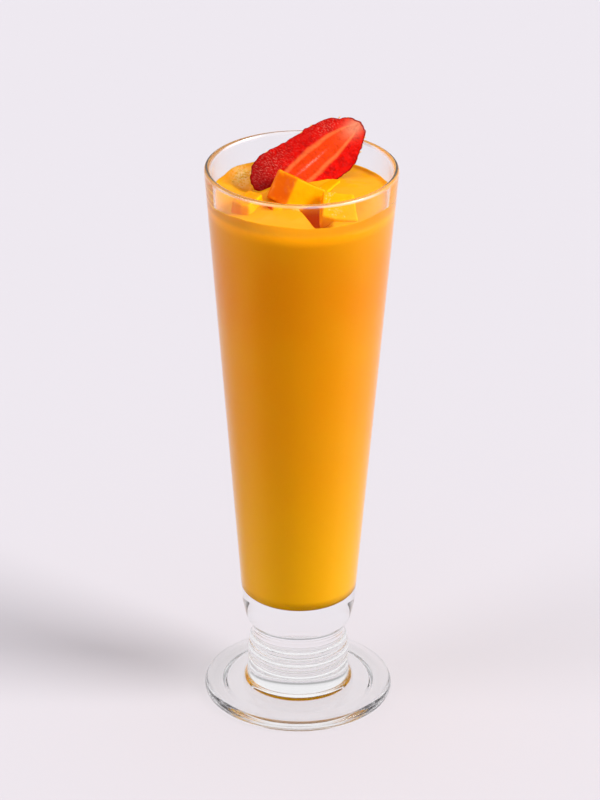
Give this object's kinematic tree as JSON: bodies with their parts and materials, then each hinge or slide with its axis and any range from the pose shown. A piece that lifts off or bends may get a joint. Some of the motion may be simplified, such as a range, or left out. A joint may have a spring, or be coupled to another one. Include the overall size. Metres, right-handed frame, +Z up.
{
  "type": "mango smoothie",
  "caption": "Tall footed pilsner glass filled with thick mango smoothie, topped with chunks of mango and half a strawberry that leans above the rim.",
  "frame": {"origin": "centre of the foot's underside, on the surface that the glass stands on", "axes": "+Z up out of the glass, -Y towards the side that the strawberry's cut face looks at, +X to the right seen from there"},
  "size_m": [0.0734, 0.0734, 0.2319],
  "materials": {
    "clear_glass": "clear pressed soda-lime glass, fire polished",
    "smoothie": "thick, smooth, slightly wet fruit puree",
    "mango_flesh": "wet, finely fibrous ripe mango",
    "strawberry_flesh": "wet cut berry with fine pale fibres and a seeded skin"
  },
  "bodies": {
    "root": {"glass": "clear_glass", "smoothie": "smoothie", "mango_chunk_centre": "mango_flesh", "mango_chunk_left": "mango_flesh", "mango_chunk_corner": "mango_flesh", "mango_chunk_right": "mango_flesh", "mango_chunk_back": "mango_flesh", "strawberry_half": "strawberry_flesh"}
  },
  "joints": []
}
